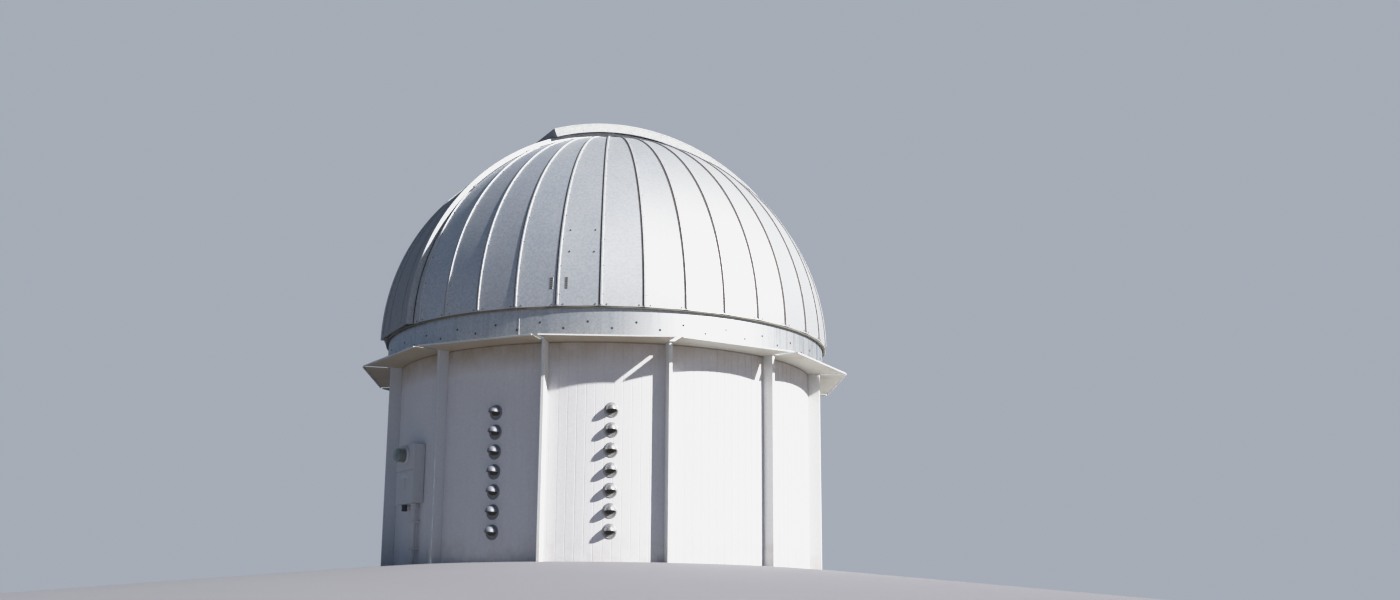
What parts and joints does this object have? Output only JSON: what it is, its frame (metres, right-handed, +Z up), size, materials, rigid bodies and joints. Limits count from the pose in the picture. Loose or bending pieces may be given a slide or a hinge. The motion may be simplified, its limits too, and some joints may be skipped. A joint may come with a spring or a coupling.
{
  "type": "observatory dome",
  "caption": "Round observatory building with fins and a twelve-sided eave, under a turning sheet-metal dome whose slit is closed by two up-and-over shutters.",
  "frame": {"origin": "on the ground at the centre of the round building, at the bottom centre of the part's box", "axes": "+Z up; the pictured side faces -Y; the slit points to the left front, at azimuth -66.6 degrees from -Y"},
  "size_m": [5.828, 5.828, 5.5484],
  "materials": {
    "galvanised_sheet": "satin galvanised sheet, bluish silver",
    "shutter_metal": "satin galvanised sheet, lighter",
    "wall_paint": "matt white exterior paint on vertical siding",
    "trim_paint": "matt white paint",
    "soffit_paint": "matt off-white paint",
    "dark_steel": "dark oiled steel",
    "cabinet_paint": "satin grey paint",
    "meter_glass": "dark glossy cover in a grey ring",
    "door_paint": "satin white paint"
  },
  "bodies": {
    "building": {"vented_wall_right": "wall_paint", "vented_wall_left": "wall_paint", "wall_bay_02": "wall_paint", "wall_bay_03": "wall_paint", "wall_bay_04": "wall_paint", "wall_bay_05": "wall_paint", "wall_bay_06": "wall_paint", "wall_bay_08": "wall_paint", "wall_bay_09": "wall_paint", "wall_bay_10": "wall_paint", "wall_bay_11": "wall_paint", "wall_beside_door_right": "wall_paint", "wall_beside_door_left": "wall_paint", "wall_over_door": "wall_paint", "door_frame": "trim_paint", "door_leaf": "door_paint", "fin_frame_front": "trim_paint", "fin_frame_right": "trim_paint", "fin_frame_back": "trim_paint", "fin_frame_left": "trim_paint", "eave_front": "soffit_paint", "eave_right": "soffit_paint", "eave_back": "soffit_paint", "eave_left": "soffit_paint", "drum_front_right": "galvanised_sheet", "drum_back_left": "galvanised_sheet", "support_rollers": "dark_steel", "electrical_cabinet": "cabinet_paint", "electric_meter": "meter_glass", "cabinet_conduit": "cabinet_paint"},
    "dome": {"dome_base_ring": "dark_steel", "dome_panels_left": "galvanised_sheet", "dome_panels_front": "galvanised_sheet", "dome_panels_right": "galvanised_sheet", "dome_panels_back_right": "galvanised_sheet", "dome_panels_back": "galvanised_sheet", "dome_panels_back_left": "galvanised_sheet", "slit_curb_near": "shutter_metal", "slit_curb_far": "shutter_metal", "rear_panel": "galvanised_sheet"},
    "front_shutter": {"front_shutter": "shutter_metal"},
    "upper_shutter": {"upper_shutter": "shutter_metal", "upper_shutter_side_near": "shutter_metal", "upper_shutter_side_far": "shutter_metal"}
  },
  "joints": [
    {"name": "dome_rotation", "type": "hinge", "parent": "building", "child": "dome", "pos_m": [0, 0, 2.83], "axis": [0, 0, 1], "continuous": true},
    {"name": "upper_shutter_travel", "type": "hinge", "parent": "dome", "child": "upper_shutter", "pos_m": [0, 0, 2.702], "axis": [-0.3971, 0.9178, 0], "range_deg": [0, 45]},
    {"name": "front_shutter_travel", "type": "hinge", "parent": "dome", "child": "front_shutter", "pos_m": [0, 0, 2.702], "axis": [-0.3971, 0.9178, 0], "range_deg": [0, 107]}
  ]
}
